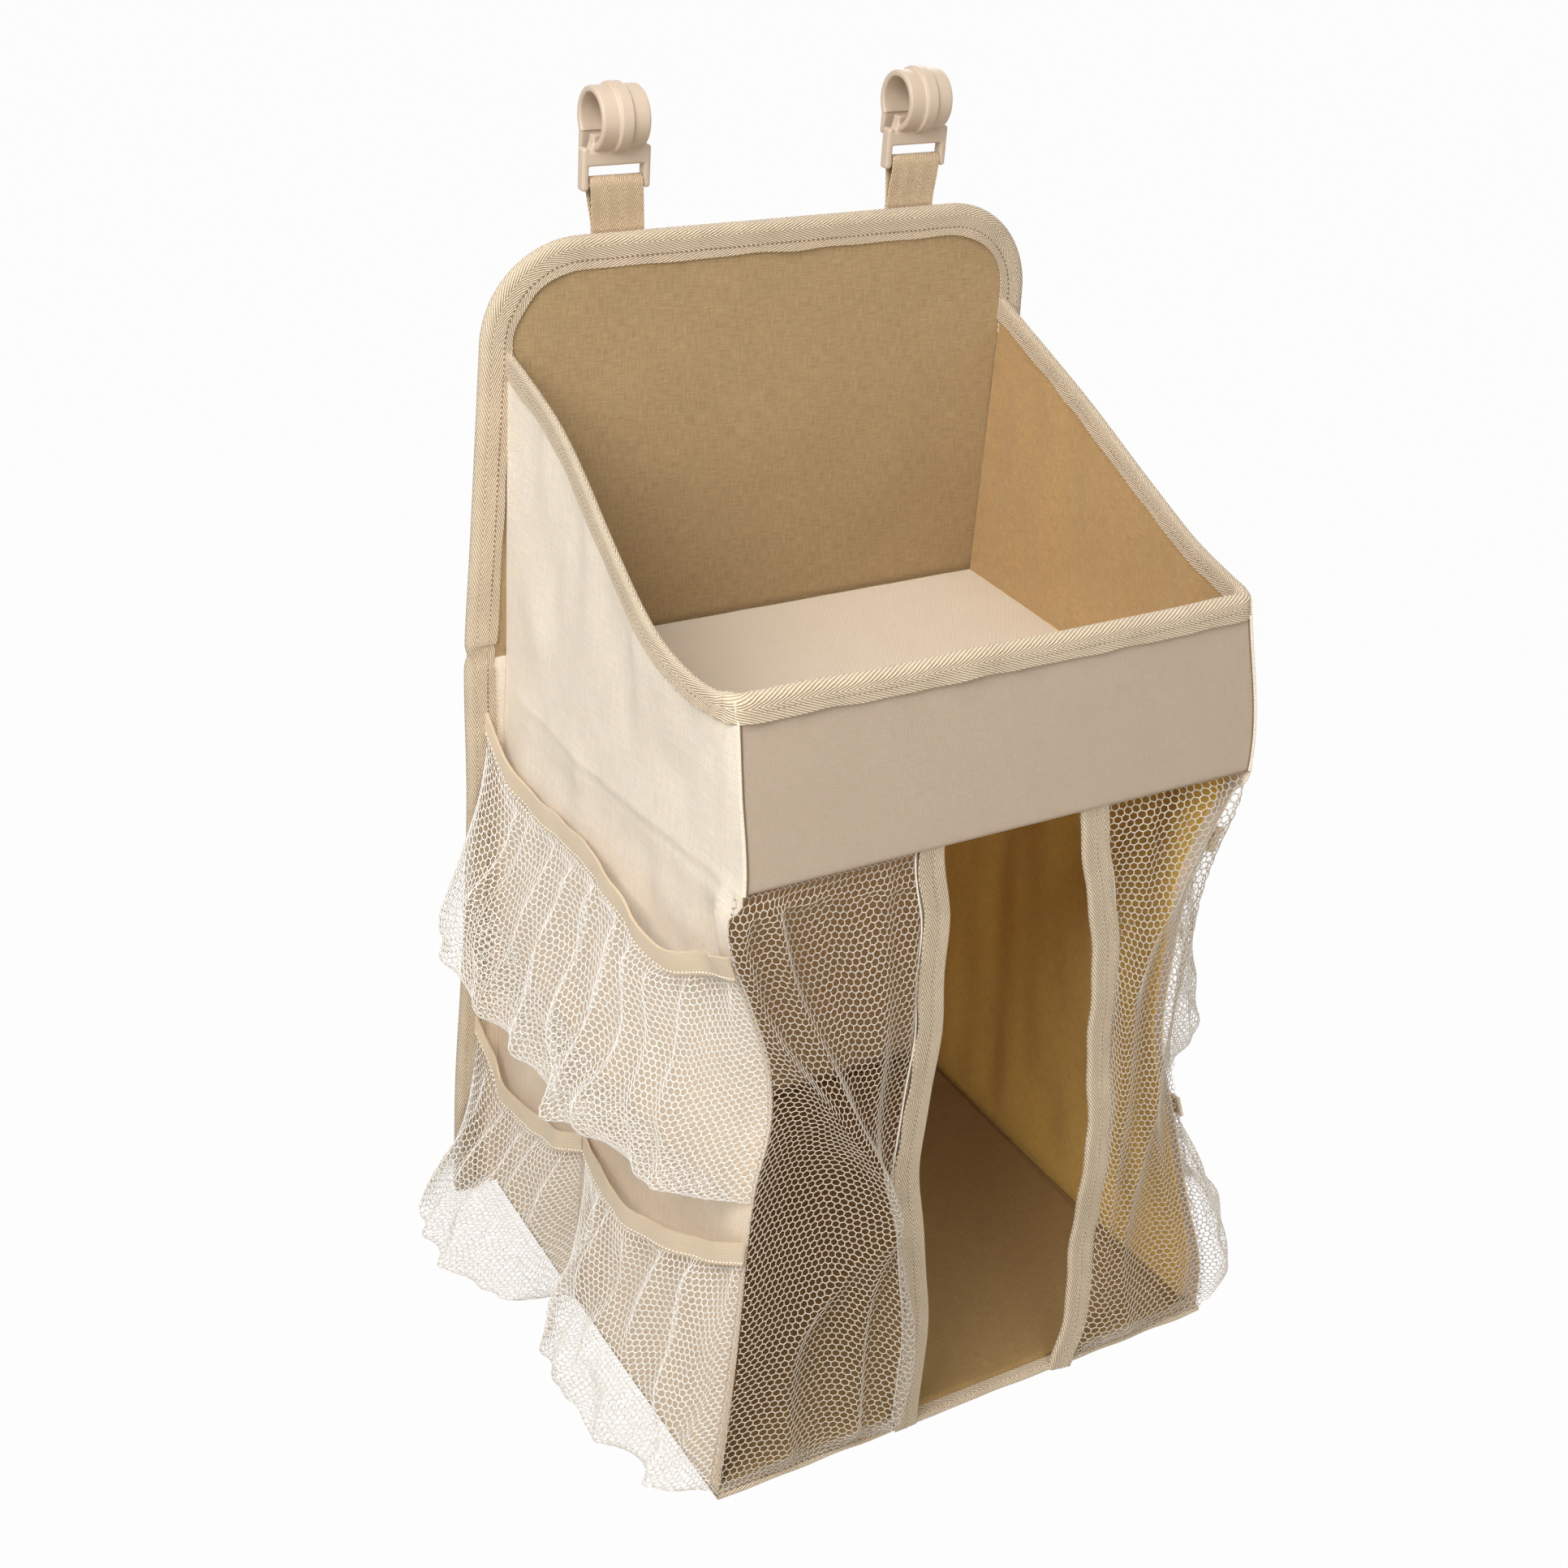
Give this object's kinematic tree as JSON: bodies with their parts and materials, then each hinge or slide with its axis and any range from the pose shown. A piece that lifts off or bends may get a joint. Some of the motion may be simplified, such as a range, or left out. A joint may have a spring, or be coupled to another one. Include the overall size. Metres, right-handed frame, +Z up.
{
  "type": "hanging diaper caddy",
  "caption": "Hanging cotton caddy with a stiff back, an open shelf tray, a lower compartment behind net curtains, elastic net side pockets and clip hooks on webbing straps.",
  "frame": {"origin": "on the axis of the rail that the hooks clip over, midway between the two hooks", "axes": "+Z up, +X along the rail to the right as seen from the front, +Y away from the user, behind the back panel"},
  "size_m": [0.3484, 0.259, 0.5411],
  "materials": {
    "canvas": "plain-weave natural cotton canvas",
    "lining": "plain-weave tan cotton lining over board",
    "fascia_cloth": "fine greige cotton over board",
    "shelf_cloth": "fine cotton over board",
    "tape": "herringbone twill cotton tape, stitched",
    "net": "cream hexagonal net",
    "elastic": "ribbed knitted elastic, stitched",
    "webbing": "herringbone cotton webbing",
    "board": "grey-brown fibreboard",
    "plastic": "satin beige moulded plastic"
  },
  "bodies": {
    "caddy": {"back_cover_front": "lining", "back_cover_rear": "canvas", "back_board_upper": "board", "back_board_lower": "board", "back_binding": "tape", "fascia_cover": "fascia_cloth", "fascia_board": "board", "shelf_cover": "shelf_cloth", "shelf_board": "board", "base_floor": "canvas", "base_hem": "tape", "rim_binding": "tape", "side_panel_left": "canvas", "curtain_net_left": "net", "curtain_tape_left": "tape", "upper_pocket_net_left": "net", "upper_pocket_band_left": "elastic", "rear_pocket_net_left": "net", "rear_pocket_band_left": "elastic", "front_pocket_net_left": "net", "front_pocket_band_left": "elastic", "strap_tail_left": "webbing", "side_panel_right": "canvas", "curtain_net_right": "net", "curtain_tape_right": "tape", "upper_pocket_net_right": "net", "upper_pocket_band_right": "elastic", "rear_pocket_net_right": "net", "rear_pocket_band_right": "elastic", "front_pocket_net_right": "net", "front_pocket_band_right": "elastic", "strap_tail_right": "webbing"},
    "base_insert": {"insert_cover": "lining", "insert_board": "board"},
    "strap_left": {"strap_loop_left": "webbing"},
    "hook_left": {"hook_left": "plastic"},
    "strap_right": {"strap_loop_right": "webbing"},
    "hook_right": {"hook_right": "plastic"}
  },
  "joints": [
    {"name": "strap_left_swing", "type": "hinge", "parent": "caddy", "child": "strap_left", "pos_m": [-0.072, -0.0015, -0.0435], "axis": [1, 0, 0], "range_deg": [-60, 60]},
    {"name": "hook_left_turn", "type": "hinge", "parent": "strap_left", "child": "hook_left", "pos_m": [-0.072, -0.0015, -0.026], "axis": [1, 0, 0], "range_deg": [-90, 90]},
    {"name": "strap_right_swing", "type": "hinge", "parent": "caddy", "child": "strap_right", "pos_m": [0.072, -0.0015, -0.0435], "axis": [1, 0, 0], "range_deg": [-60, 60]},
    {"name": "hook_right_turn", "type": "hinge", "parent": "strap_right", "child": "hook_right", "pos_m": [0.072, -0.0015, -0.026], "axis": [1, 0, 0], "range_deg": [-90, 90]},
    {"name": "base_insert_lift", "type": "hinge", "parent": "caddy", "child": "base_insert", "pos_m": [0, -0.0136, -0.525], "axis": [-1, 0, 0], "range_deg": [0, 8]}
  ]
}
